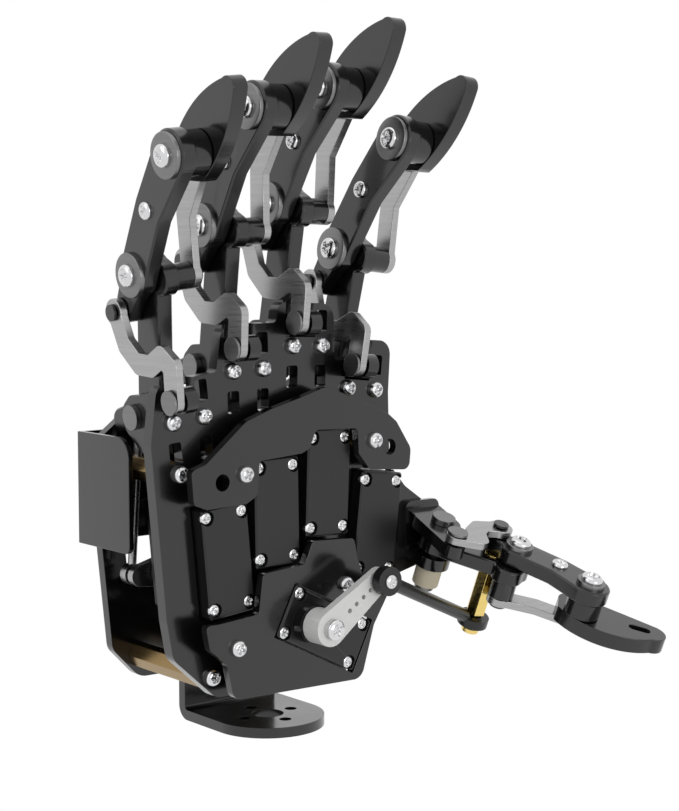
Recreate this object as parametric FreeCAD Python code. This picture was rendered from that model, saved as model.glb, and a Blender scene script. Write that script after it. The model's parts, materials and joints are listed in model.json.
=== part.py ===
import FreeCAD, Part
import math
import os

# Small robotic hand: a palm of stacked plates, five linkage digits, five servos and a wrist bracket.
# Frame: X towards the thumb, -Y out of the front of the palm, Z up along the fingers.
# The origin is the centre of the wrist bracket's hole on its underside. Millimetres.

# Palm plates, with depths measured from the front face of the palm plate towards the rear
PALM_FRONT_Y = -13.7
PALM_THICK = 2.5
COVER_THICK = 1.8
COVER_GAP = 3.4
BACK_THICK = 2.0
HOOD_THICK = 1.0
HOOD_FRONT = 11.0
CORNER_R = 3.0

# Fasteners
SCREW_HEAD_R = 1.9
SCREW_HEAD_H = 1.3
SCREW_R = 0.8
SCREW_REACH = 3.0
FIT = 0.03
RUNNING_FIT = 0.06
STANDOFF_R = 2.4

# Servos
SERVO_WIDE = 10.0
SERVO_TALL = 20.0
SERVO_FRONT = -3.1
SERVO_REAR = 14.7
SERVO_TAB_TALL = 27.2
SERVO_TAB_WIDE = 8.8
SERVO_TAB_DEPTH = 8.7
SERVO_TAB_THICK = 1.5
SERVO_BOSS_R = 4.0
SERVO_BOSS_H = 2.0
SERVO_SHAFT_DROP = 4.5
SERVO_SPLINE_R = 1.2
SERVO_OPENING_GAP = 0.3
THUMB_SERVO_FRONT = -5.5
THUMB_SERVO_REAR = 8.0
THUMB_BOSS_H = 2.5
THUMB_SERVO_CENTRE = (-1.0, 22.0)
THUMB_SERVO_TURN = 63.0
CASE_SCREW_WIDE = 7.6
CASE_SCREW_TALL = 16.7

# Digit stack across the knuckle, left to right
PLATE_HALF = 1.5
SIDE_GAP = 0.2
LINK_THICK = 1.5
MIDDLE_LEFT = -4.7
CLAW_LEFT = 1.8
CLAW_RIGHT = 4.8
S_LINK_LEFT = -6.4
COUPLER_LEFT = 5.0
CHEEK_CENTRE = 3.35
CHEEK_THICK = 2.4
PIVOT_R = 1.5
PIN_R = 0.8
EYE_R = 2.45
LINK_R = 2.0
PIN_HEAD_H = 0.5
DISC_R = 4.0
DISC_H = 0.8
BUTTON_R = 2.0
BUTTON_H = 1.1
S_LINK_PLAY = 0.6
COUPLER_PLAY = 0.35
ROD_PLAY = 0.55

# Horns and push rods behind the palm
HORN_GAP = 2.3
HORN_DEPTH = SERVO_REAR + HORN_GAP
HORN_THICK = 1.6
HORN_REACH = 6.0
ROD_SPACE = 1.7
ROD_DEPTH = HORN_DEPTH + HORN_THICK + ROD_SPACE
ROD_R = 0.8

# Back plate and hood stand behind the rods
BACK_SPACE = 3.7
BACK_DEPTH = ROD_DEPTH + BACK_SPACE
HOOD_SPACE = 2.5
HOOD_REAR = BACK_DEPTH + BACK_THICK + HOOD_SPACE

# Thumb drive on the front of the palm
THUMB_SHAFT = (-5.1, 23.7)
THUMB_BALL = (6.5, 31.3)
ARM_DEPTH = -11.7
ARM_THICK = 1.6
THUMB_ROD_R = 1.25
THUMB_POST_LENGTH = 10.0
THUMB_POST_R = 2.0
THUMB_FOOT = 1.2

# Wrist bracket
FLANGE_R = 11.0
SHEET = 2.0
BEND_R = 0.8
WRIST_BORE_R = 3.05
WRIST_HOLE_R = 1.15
WRIST_PCD = 11.2

# Each finger: centre of its screw pair on the palm plate, lean and its servo
FINGERS = {
    "little": {"base": (-27.5, 62.0), "lean": 6.5, "servo": (-21.0, 36.6), "turn": 5.5, "side": -1},
    "ring": {"base": (-14.5, 70.15), "lean": 1.5, "servo": (-10.05, 44.25), "turn": 1.0, "side": -1},
    "long": {"base": (-1.0, 74.0), "lean": -1.5, "servo": (1.8, 48.7), "turn": -1.7, "side": -1},
    "index": {"base": (12.0, 65.4), "lean": -6.0, "servo": (13.85, 39.7), "turn": -6.5, "side": 1},
}

# Pivots of a finger in its own plane: (towards the rear, up), from the screw pair
FINGER = {
    "P0": (10.0, 0.5), "P2": (5.9, 26.0), "S": (2.9, 24.8), "P1": (-9.0, 46.2),
    "P3": (10.5, 19.5), "P4": (-5.0, 4.4), "Q": (-4.2, 45.4), "RL": (20.2, -1.5),
}
# Pivots of the thumb in its own plane, from its base pin
THUMB = {
    "P0": (0.0, 0.0), "P2": (-1.9, 15.3), "S": (-4.4, 14.4), "P1": (-9.0, 29.5),
    "P3": (1.3, 11.0), "P4": (-7.5, 3.0), "Q": (-4.8, 29.0), "POST": (-1.2, 11.0),
}
THUMB_ORIGIN = (27.0, -5.0, 35.0)


def vec(x, y, z):
    return FreeCAD.Vector(x, y, z)


def frame_at(origin, ex, ey, ez):
    """Placement that carries local x, y, z onto the three given directions."""
    m = FreeCAD.Matrix(
        ex.x, ey.x, ez.x, origin.x,
        ex.y, ey.y, ez.y, origin.y,
        ex.z, ey.z, ez.z, origin.z,
        0, 0, 0, 1)
    return FreeCAD.Placement(m)


def placed(shape, place):
    moved = shape.copy()
    moved.Placement = place.multiply(moved.Placement)
    return moved


def front_frame(x, z, lean=0.0):
    """Local x right, y up, z out of the palm, from its front face."""
    a = math.radians(lean)
    right = vec(math.cos(a), 0, math.sin(a))
    up = vec(-math.sin(a), 0, math.cos(a))
    return frame_at(vec(x, PALM_FRONT_Y, z), right, up, vec(0, -1, 0))


def finger_frame(x, z, lean):
    """Local x to the rear, y up the finger, z to its right."""
    a = math.radians(lean)
    right = vec(math.cos(a), 0, math.sin(a))
    up = vec(-math.sin(a), 0, math.cos(a))
    return frame_at(vec(x, PALM_FRONT_Y, z), vec(0, 1, 0), up, right)


def thumb_frame():
    across = vec(0, 0.375, -0.927)
    across.normalize()
    half = math.sqrt(0.5)
    along = vec(half, across.z * half, -across.y * half)
    rear = along.cross(across)
    x, depth, z = THUMB_ORIGIN
    return frame_at(vec(x, PALM_FRONT_Y + depth, z), rear, along, across)


def rounded_wire(points, radius):
    """Closed outline through (x, y) or (x, y, corner radius) with its corners as arcs."""
    n = len(points)
    cut = []
    for i in range(n):
        p = vec(points[i][0], points[i][1], 0)
        a = vec(points[i - 1][0], points[i - 1][1], 0) - p
        b = vec(points[(i + 1) % n][0], points[(i + 1) % n][1], 0) - p
        r = points[i][2] if len(points[i]) > 2 else radius
        half = a.getAngle(b) / 2.0
        if r <= 0 or abs(half - math.pi / 2) < 0.02:
            cut.append((p, None, p))
            continue
        reach = min(r / math.tan(half), 0.47 * a.Length, 0.47 * b.Length)
        r = reach * math.tan(half)
        a.normalize()
        b.normalize()
        middle = a + b
        middle.normalize()
        top = p + middle * (r / math.sin(half) - r)
        cut.append((p + a * reach, top, p + b * reach))
    edges = []
    for i in range(n):
        start, top, end = cut[i]
        if top is not None:
            edges.append(Part.Arc(start, top, end).toShape())
        following = cut[(i + 1) % n][0]
        if (following - end).Length > 1e-4:
            edges.append(Part.makeLine(end, following))
    return Part.Wire(edges)


def slab(points, z0, z1, radius=0.0):
    """Flat piece with a rounded outline, from height z0 to z1."""
    face = Part.Face(rounded_wire(points, radius))
    solid = face.extrude(vec(0, 0, z1 - z0))
    solid.translate(vec(0, 0, z0))
    return solid


def disc(x, y, z0, z1, radius):
    return Part.makeCylinder(radius, z1 - z0, vec(x, y, z0))


def limb(p, q, rp, rq, z0, z1):
    """Tapered bar with round ends of radius rp at p and rq at q."""
    a = vec(p[0], p[1], z0)
    b = vec(q[0], q[1], z0)
    along = b - a
    length = along.Length
    along.normalize()
    side = vec(-along.y, along.x, 0)
    s = (rp - rq) / length
    c = math.sqrt(1.0 - s * s)
    n1 = along * s + side * c
    n2 = along * s - side * c
    a1 = a + n1 * rp
    a2 = a + n2 * rp
    b1 = b + n1 * rq
    b2 = b + n2 * rq
    wire = Part.Wire([
        Part.makeLine(a1, b1),
        Part.Arc(b1, b + along * rq, b2).toShape(),
        Part.makeLine(b2, a2),
        Part.Arc(a2, a - along * rp, a1).toShape()])
    return Part.Face(wire).extrude(vec(0, 0, z1 - z0))


def join(shapes):
    whole = shapes[0]
    if len(shapes) > 1:
        whole = shapes[0].multiFuse(shapes[1:])
    return whole.removeSplitter()


def chain(points, radius, z0, z1):
    """Bar of even width that bends at each point."""
    pieces = []
    for i in range(len(points) - 1):
        pieces.append(limb(points[i], points[i + 1], radius, radius - 0.001, z0, z1))
    return join(pieces)


def arc_wire(parts):
    """Outline from lines (two points) and arcs (three points)."""
    edges = []
    for part in parts:
        pts = [vec(p[0], p[1], 0) for p in part]
        if len(pts) == 2:
            edges.append(Part.makeLine(pts[0], pts[1]))
        else:
            edges.append(Part.Arc(pts[0], pts[1], pts[2]).toShape())
    return Part.Wire(edges)


def blade(parts, z0, z1):
    solid = Part.Face(arc_wire(parts)).extrude(vec(0, 0, z1 - z0))
    solid.translate(vec(0, 0, z0))
    return solid


def soften(shape, size, z_levels):
    """Small chamfer on the long outer edges that lie at the given heights."""
    chosen = []
    for edge in shape.Edges:
        box = edge.BoundBox
        if box.ZLength < 1e-6 and edge.Length > 2.2:
            if min(abs(box.ZMin - z) for z in z_levels) < 1e-6:
                chosen.append(edge)
    try:
        done = shape.makeChamfer(size, chosen)
        if done.isValid() and done.Volume > 0.8 * shape.Volume:
            return done
    except Part.OCCError:
        pass
    return shape


def front_hole(x, z, radius, depth0, depth1, place=None):
    """Round bar along the palm's depth, used as a hole or a pin."""
    bar = disc(x, z, -depth1, -depth0, radius)
    return placed(bar, place or front_frame(0, 0))


def cheek_points():
    x, y = FINGER["P0"]
    return [(PALM_THICK, -6.0, 0.6), (PALM_THICK, 2.4, 0.8), (5.8, 4.7, 1.0), (x + 1.0, y + 3.9, 2.5),
            (x + 3.9, y + 1.5, 2.5), (x + 3.7, y - 2.5, 2.5), (x - 1.0, -6.0, 1.5)]


def screw(x, z, depth, reach, place=None, head_r=SCREW_HEAD_R, head_h=SCREW_HEAD_H, shank_r=SCREW_R):
    """Round-headed screw seen from the front with a cross recess, head on the face at depth."""
    head = disc(x, z, -depth, -depth + head_h, head_r)
    shank = disc(x, z, -depth - reach, -depth + 0.1, shank_r)
    body = head.fuse(shank).removeSplitter()
    arm = head_r * 0.62
    slot = head_r * 0.17
    top = -depth + head_h
    deep = head_h * 0.5
    one = Part.makeBox(2 * arm, 2 * slot, deep + 0.1, vec(x - arm, z - slot, top - deep))
    two = Part.makeBox(2 * slot, 2 * arm, deep + 0.1, vec(x - slot, z - arm, top - deep))
    body = body.cut(one.fuse(two))
    return placed(body, place or front_frame(0, 0))


def tab_holes():
    return [(0.0, 12.0), (0.0, -12.0)]


NODES = {}


def add(name, shapes):
    if not isinstance(shapes, list):
        shapes = [shapes]
    solids = []
    for shape in shapes:
        solids.extend(shape.Solids)
    NODES[name] = solids


# Places where the palm's screws stand, on the plates they hold
knuckle_holes = []
for key, data in FINGERS.items():
    place = front_frame(data["base"][0], data["base"][1], data["lean"])
    for side in (-1, 1):
        point = place.multVec(vec(side * CHEEK_CENTRE, 0, 0))
        knuckle_holes.append((point.x, point.z))
cover_holes = [(-19.0, 52.1), (10.9, 56.1)]
lower_holes = [(-20.8, 21.1), (4.0, 29.6)]
corner_holes = [(-22.8, 15.2), (-6.5, 13.9), (-29.3, 52.4)]
post_holes = corner_holes + [cover_holes[1]]
wrist_holes = [(7.0, 16.0), (-7.0, 28.0), (7.0, 28.0)]


def servo_opening(x, z, turn, tall, wide, depth0, depth1):
    gap = SERVO_OPENING_GAP
    block = Part.makeBox(wide + 2 * gap, tall + 2 * gap, depth1 - depth0,
                         vec(-wide / 2 - gap, -tall / 2 - gap, -depth1))
    return placed(block, front_frame(x, z, turn))


thumb_tab_holes = []
for x, z in tab_holes():
    point = front_frame(THUMB_SERVO_CENTRE[0], THUMB_SERVO_CENTRE[1], THUMB_SERVO_TURN).multVec(vec(x, z, 0))
    thumb_tab_holes.append((point.x, point.z))

openings = []
for data in FINGERS.values():
    openings.append(servo_opening(data["servo"][0], data["servo"][1], data["turn"],
                                  SERVO_TALL, SERVO_WIDE, -8.0, PALM_THICK + 1))
thumb_opening = servo_opening(THUMB_SERVO_CENTRE[0], THUMB_SERVO_CENTRE[1], THUMB_SERVO_TURN,
                              SERVO_TALL, SERVO_WIDE, -8.0, PALM_THICK + 1)

# Palm plate
palm_points = [
    (-35.3, 57.8, 2), (-32.3, 26.4, 2), (-31.0, 19.5, 3), (-21.9, 11.3, 3), (8.3, 10.7, 3),
    (11.4, 21.1, 3), (14.9, 26.4, 3), (22.0, 29.1, 2), (28.5, 30.6, 2), (32.4, 36.0, 3), (31.0, 40.6, 3),
    (23.2, 45.9, 3), (19.2, 50.5, 3), (18.8, 64.4, 1), (19.4, 74.2, 3.5), (13.6, 74.6, 2),
    (12.6, 71.2, 1), (5.5, 71.0, 0.8), (5.4, 81.6, 3), (-7.6, 82.2, 3), (-8.1, 78.4, 1),
    (-20.2, 78.6, 3), (-21.4, 70.0, 1), (-34.0, 68.6, 3)]
palm = slab(palm_points, -PALM_THICK, 0.0, CORNER_R)
palm = placed(palm, front_frame(0, 0))
palm = palm.cut(openings[0].multiFuse(openings[1:] + [thumb_opening]))
cutters = []
for data in FINGERS.values():
    # clearance for the proximal and for the pivot ear of the left cheek
    place = front_frame(data["base"][0], data["base"][1], data["lean"])
    notch = Part.makeBox(6.9, 40.0, PALM_THICK + 2, vec(-5.0, 1.6, -PALM_THICK - 1))
    cutters.append(placed(notch, place))
    cutters.append(placed(slab([(2.1, 2.6), (4.7, 2.6), (4.7, 6.6), (2.1, 6.6)], -PALM_THICK - 1, 1, 0.5), place))
    cutters.append(placed(slab([(-4.6, -7.6), (-2.0, -7.6), (-2.0, -3.6), (-4.6, -3.6)], -PALM_THICK - 1, 1, 0.5),
                          place))
    cutters.append(placed(slab([(2.0, -7.6), (4.6, -7.6), (4.6, -3.6), (2.0, -3.6)], -PALM_THICK - 1, 1, 0.5),
                          place))
for x, z in knuckle_holes + cover_holes + lower_holes + corner_holes + thumb_tab_holes:
    cutters.append(front_hole(x, z, SCREW_R + FIT, -1, PALM_THICK + 1))
palm = palm.cut(cutters[0].multiFuse(cutters[1:]))

# Cover plates stand in front of the palm plate on short spacers
cover_rear = -COVER_GAP
cover_front = -COVER_GAP - COVER_THICK
knuckle_points = [
    (-30.4, 53.5, 1), (-29.9, 47.5, 1), (-27.0, 46.5, 1), (-18.6, 46.8, 1), (-16.2, 48.1, 1), (-15.7, 54.2, 0.6),
    (-6.2, 54.9, 1), (-4.4, 55.6, 1), (-3.0, 59.0, 1.5), (7.0, 58.6, 1), (7.2, 53.9, 1), (9.9, 50.7, 1),
    (19.7, 49.9, 1.5), (20.1, 54.0, 2), (16.5, 59.3, 1.5), (14.3, 61.0, 2), (-0.3, 66.8, 4), (-6.6, 65.0, 3),
    (-13.3, 63.3, 3), (-18.7, 61.4, 3), (-27.3, 54.5, 1)]
knuckle_cover = placed(slab(knuckle_points, -cover_rear, -cover_front, 1), front_frame(0, 0))
for x, z in cover_holes:
    knuckle_cover = knuckle_cover.cut(front_hole(x, z, SCREW_R + FIT, -9, 0))
for x, z in [(-23.8, 51.0), (14.8, 54.6)]:
    knuckle_cover = knuckle_cover.cut(front_hole(x, z, 1.5, -9, 0))

lower_points = [
    (-27.6, 26.0, 1), (-26.7, 21.5, 1), (-23.0, 18.4, 1.5), (-21.6, 11.8, 2), (8.0, 11.2, 2.5), (11.0, 21.1, 3),
    (14.4, 26.4, 1.5), (17.6, 28.6, 1), (8.6, 29.8, 1), (7.1, 34.1, 1), (6.1, 38.1, 1), (-3.7, 38.6, 1),
    (-5.5, 34.5, 1), (-15.1, 33.8, 1), (-16.0, 26.6, 0.8), (-25.2, 25.9, 0.6)]
lower_cover = placed(slab(lower_points, -cover_rear, -cover_front, 1), front_frame(0, 0))
lower_cover = lower_cover.cut(thumb_opening)
for x, z in lower_holes:
    lower_cover = lower_cover.cut(front_hole(x, z, SCREW_R + FIT, -9, 0))

# Back plate, hood and wrist bracket
back_points = [
    (-30.7, 57.0, 2), (-30.7, 37.3, 2), (-28.6, 16.8, 3), (-22.7, 10.7, 4), (6.0, 10.4, 4), (10.0, 14.5, 3),
    (19.0, 44.0, 3), (19.0, 60.0, 3), (8.0, 64.0, 3), (-24.0, 62.0, 3)]
back = placed(slab(back_points, -BACK_DEPTH - BACK_THICK, -BACK_DEPTH, 3), front_frame(0, 0))
rod_window = []
for data in FINGERS.values():
    x, z = data["servo"]
    rod_window.append(placed(slab([(-4.6, -8.0), (4.6, -8.0), (4.6, 8.0), (-4.6, 8.0)],
                                  -BACK_DEPTH - BACK_THICK - 1, -BACK_DEPTH + 1, 2),
                             front_frame(x, z, data["turn"])))
back = back.cut(rod_window[0].multiFuse(rod_window[1:]))

hood_wall = slab([(HOOD_FRONT, 37.0, 1.5), (HOOD_REAR, 37.0, 1), (HOOD_REAR, 58.0, 1), (HOOD_FRONT, 58.0, 4)],
                 -HOOD_THICK, 0.0, 1)
side_place = frame_at(vec(-31.9, PALM_FRONT_Y, 0), vec(0, 1, 0), vec(0, 0, 1), vec(1, 0, 0))
hood_left = placed(hood_wall, side_place)
hood_back = Part.makeBox(52.0, HOOD_THICK, 21.0, vec(-32.9, PALM_FRONT_Y + HOOD_REAR - HOOD_THICK, 37.0))
hood_foot = Part.makeBox(8.0, HOOD_REAR - HOOD_THICK - BACK_DEPTH - BACK_THICK + 0.5, 3.0,
                         vec(-8.0, PALM_FRONT_Y + BACK_DEPTH + BACK_THICK, 48.0))
hood = join([hood_left, hood_back, hood_foot])

bend_y = PALM_FRONT_Y + BACK_DEPTH + BACK_THICK
flange = disc(0, 0, 0, SHEET, FLANGE_R)
web = Part.makeBox(2 * FLANGE_R, bend_y + SHEET, SHEET, vec(-FLANGE_R, 0, 0))
riser = Part.makeBox(2 * FLANGE_R, SHEET, 34.0, vec(-FLANGE_R, bend_y, 0))
wrist = join([flange, web, riser])
for y, z, size in ((bend_y, SHEET, BEND_R), (bend_y + SHEET, 0.0, BEND_R + SHEET)):
    bends = []
    for edge in wrist.Edges:
        box = edge.BoundBox
        if box.XLength > 2 * FLANGE_R - 0.1 and box.ZLength + box.YLength < 1e-6:
            if abs(box.YMin - y) + abs(box.ZMin - z) < 1e-6:
                bends.append(edge)
    wrist = wrist.makeFillet(size, bends)
wrist = wrist.cut(disc(0, 0, -1, SHEET + 1, WRIST_BORE_R))
for turn in (0, 90, 180, 270):
    a = math.radians(turn)
    wrist = wrist.cut(disc(WRIST_PCD / 2 * math.cos(a), WRIST_PCD / 2 * math.sin(a), -1, SHEET + 1, WRIST_HOLE_R))
for x, z in wrist_holes + [corner_holes[1]]:
    hole = front_hole(x, z, SCREW_R + FIT, BACK_DEPTH - 1, BACK_DEPTH + BACK_THICK + SHEET + 1)
    wrist = wrist.cut(hole)
    back = back.cut(hole)
for x, z in post_holes:
    back = back.cut(front_hole(x, z, SCREW_R + FIT, BACK_DEPTH - 1, BACK_DEPTH + BACK_THICK + 1))

# Stand-offs: long ones to the back plate, short ones under the covers, servo spacers
standoffs = []
hex_points = [(STANDOFF_R * math.cos(math.radians(60 * i)), STANDOFF_R * math.sin(math.radians(60 * i)))
              for i in range(6)]
for x, z in post_holes:
    post = slab([(x + hx, z + hz) for hx, hz in hex_points], -BACK_DEPTH, -PALM_THICK)
    bore = disc(x, z, -PALM_THICK - SCREW_REACH - 1, -PALM_THICK, SCREW_R + FIT)
    bore2 = disc(x, z, -BACK_DEPTH, -BACK_DEPTH + SCREW_REACH + 1, SCREW_R + FIT)
    standoffs.append(placed(post.cut(bore.fuse(bore2)), front_frame(0, 0)))
for x, z in cover_holes + lower_holes:
    spacer = disc(x, z, 0, COVER_GAP, 1.9).cut(disc(x, z, -1, COVER_GAP + 1, SCREW_R + FIT))
    standoffs.append(placed(spacer, front_frame(0, 0)))
for data in FINGERS.values():
    place = front_frame(data["servo"][0], data["servo"][1], data["turn"])
    for x, z in tab_holes():
        spacer = disc(x, z, -SERVO_TAB_DEPTH, -PALM_THICK, 1.5)
        spacer = spacer.cut(disc(x, z, -SERVO_TAB_DEPTH, -SERVO_TAB_DEPTH + SCREW_REACH, SCREW_R + FIT))
        standoffs.append(placed(spacer, place))

# Screws of the plates and servo tabs
screws = []
for x, z in knuckle_holes:
    screws.append(screw(x, z, 0.0, PALM_THICK + SCREW_REACH))
for x, z in corner_holes:
    screws.append(screw(x, z, 0.0, PALM_THICK + SCREW_REACH))
for x, z in thumb_tab_holes:
    screws.append(screw(x, z, -SERVO_TAB_THICK, SERVO_TAB_THICK + PALM_THICK, None, 1.5, 1.0))
for x, z in cover_holes + lower_holes:
    screws.append(screw(x, z, cover_front, COVER_THICK + COVER_GAP + PALM_THICK + 0.5))
for x, z in post_holes + wrist_holes:
    behind_sheet = SHEET if (x, z) in wrist_holes + [corner_holes[1]] else 0.0
    flat = BACK_DEPTH + BACK_THICK + behind_sheet
    reach = BACK_THICK + behind_sheet + (SCREW_REACH if (x, z) in post_holes else 0.0)
    piece = screw(0, 0, 0.0, reach, FreeCAD.Placement())
    place = frame_at(vec(x, PALM_FRONT_Y + flat, z), vec(1, 0, 0), vec(0, 0, -1), vec(0, 1, 0))
    screws.append(placed(piece, place))
for data in FINGERS.values():
    place = front_frame(data["servo"][0], data["servo"][1], data["turn"])
    for x, z in tab_holes():
        piece = screw(0, 0, 0.0, SERVO_TAB_THICK + SCREW_REACH - 0.5, FreeCAD.Placement(), 1.5, 1.0)
        flip = frame_at(vec(x, z, -SERVO_TAB_DEPTH - SERVO_TAB_THICK), vec(1, 0, 0), vec(0, -1, 0), vec(0, 0, -1))
        screws.append(placed(placed(piece, flip), place))

add("palm_plate", palm)
add("knuckle_cover_plate", knuckle_cover)
add("lower_cover_plate", lower_cover)
add("back_plate", back)
add("back_hood", hood)
add("wrist_bracket", wrist)
add("standoffs", standoffs)
add("plate_screws", screws)


def case_corners():
    w = CASE_SCREW_WIDE / 2
    t = CASE_SCREW_TALL / 2
    return [(-w, -t), (w, -t), (-w, t), (w, t)]


def servo_case(front, rear, tab0):
    """Case with notched front corners and mounting tabs, local z out of the palm."""
    half = SERVO_WIDE / 2
    tall = SERVO_TALL / 2
    edge = 0.6
    case = slab([(-half, -tall, edge), (half, -tall, edge), (half, tall, edge), (-half, tall, edge)],
                -rear, -front, edge)
    case = soften(case, 0.35, [-front])
    half_tab = SERVO_TAB_TALL / 2
    side = SERVO_TAB_WIDE / 2
    tab = slab([(-side, -half_tab), (side, -half_tab), (side, half_tab), (-side, half_tab)],
               -tab0 - SERVO_TAB_THICK, -tab0, 0.8)
    body = case.fuse(tab).removeSplitter()
    cuts = []
    for x, z in tab_holes():
        cuts.append(disc(x, z, -tab0 - SERVO_TAB_THICK - 1, -tab0 + 1, SCREW_R + FIT))
    for x, z in case_corners():
        cuts.append(disc(x, z, -front - 0.9, -front + 1, 1.35))
        cuts.append(disc(x, z, -front - 2.4, -front, 0.55 + FIT))
    return body.cut(cuts[0].multiFuse(cuts[1:]))


case_screws = []
for key, data in FINGERS.items():
    place = front_frame(data["servo"][0], data["servo"][1], data["turn"])
    body = servo_case(SERVO_FRONT, SERVO_REAR, SERVO_TAB_DEPTH)
    boss = disc(0, -SERVO_SHAFT_DROP, -SERVO_REAR - SERVO_BOSS_H, -SERVO_REAR + 0.5, SERVO_BOSS_R)
    spline = disc(0, -SERVO_SHAFT_DROP, -HORN_DEPTH - HORN_THICK - 0.2, -SERVO_REAR, SERVO_SPLINE_R)
    add("servo_" + key, placed(join([body, boss, spline]), place))
    for x, z in case_corners():
        case_screws.append(screw(x, z, SERVO_FRONT + 0.9, 1.2, place, 1.05, 0.6, 0.55))

thumb_place = front_frame(THUMB_SERVO_CENTRE[0], THUMB_SERVO_CENTRE[1], THUMB_SERVO_TURN)
body = servo_case(THUMB_SERVO_FRONT, THUMB_SERVO_REAR, -SERVO_TAB_THICK)
thumb_servo = placed(body, thumb_place)
boss = front_hole(THUMB_SHAFT[0], THUMB_SHAFT[1], 3.6, THUMB_SERVO_FRONT - THUMB_BOSS_H, THUMB_SERVO_FRONT + 0.5)
spline = front_hole(THUMB_SHAFT[0], THUMB_SHAFT[1], 1.6, ARM_DEPTH, THUMB_SERVO_FRONT)
add("thumb_servo", join([thumb_servo, boss, spline]))
for x, z in case_corners():
    case_screws.append(screw(x, z, THUMB_SERVO_FRONT + 0.9, 1.2, thumb_place, 1.05, 0.6, 0.55))
add("servo_case_screws", case_screws)

# Knuckle brackets: two cheeks per finger behind the palm plate
cheeks = []
pins = []
for key, data in FINGERS.items():
    place = finger_frame(data["base"][0], data["base"][1], data["lean"])
    for side in (-1, 1):
        c0 = side * CHEEK_CENTRE - CHEEK_THICK / 2
        c1 = c0 + CHEEK_THICK
        pieces = [slab(cheek_points(), c0, c1, 1.0)]
        if side < 0:
            pieces.append(limb((6.6, 3.4), FINGER["P4"], 1.4, 2.3, c0, c1))
        cheek = join(pieces)
        cheek = cheek.cut(disc(FINGER["P0"][0], FINGER["P0"][1], c0 - 1, c1 + 1, PIVOT_R + FIT))
        hole = Part.makeCylinder(SCREW_R + FIT, SCREW_REACH + 0.5, vec(PALM_THICK, 0, side * CHEEK_CENTRE), vec(1, 0, 0))
        cheek = cheek.cut(hole)
        if side < 0:
            cheek = cheek.cut(disc(FINGER["P4"][0], FINGER["P4"][1], c0 - 1, c1 + 1, PIN_R + FIT))
        cheeks.append(placed(cheek, place))
    outer = CHEEK_CENTRE + CHEEK_THICK / 2
    x, y = FINGER["P0"]
    pin = join([disc(x, y, -outer, outer + 0.3, PIVOT_R), disc(x, y, -outer - 1.2, -outer, 2.3)])
    pins.append(placed(pin, place))
    x, y = FINGER["P4"]
    link_left = S_LINK_LEFT - SIDE_GAP
    pin = join([disc(x, y, link_left, -outer + CHEEK_THICK, PIN_R),
                disc(x, y, link_left - PIN_HEAD_H, link_left, 2.2)])
    pins.append(placed(pin, place))
add("knuckle_brackets", cheeks)
add("bracket_pins", pins)


def finger_claw_outline():
    return [
        ((-9.0, 41.2), (-16.3, 48.0), (-20.4, 56.0)), ((-20.4, 56.0), (-19.6, 57.9), (-17.4, 58.0)),
        ((-17.4, 58.0), (-9.6, 55.2), (-2.2, 49.0)), ((-2.2, 49.0), (-1.4, 44.0)),
        ((-1.4, 44.0), (-2.4, 42.0), (-4.6, 41.5)), ((-4.6, 41.5), (-9.0, 41.2))]


def thumb_claw_outline():
    return [
        ((-8.6, 25.0), (-13.6, 32.5), (-11.3, 43.6)), ((-11.3, 43.6), (-8.4, 46.2), (-5.8, 43.9)),
        ((-5.8, 43.9), (-4.2, 38.0), (-2.6, 31.8)), ((-2.6, 31.8), (-2.0, 27.8)),
        ((-2.0, 27.8), (-2.9, 25.6), (-5.0, 25.1)), ((-5.0, 25.1), (-8.6, 25.0))]


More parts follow.
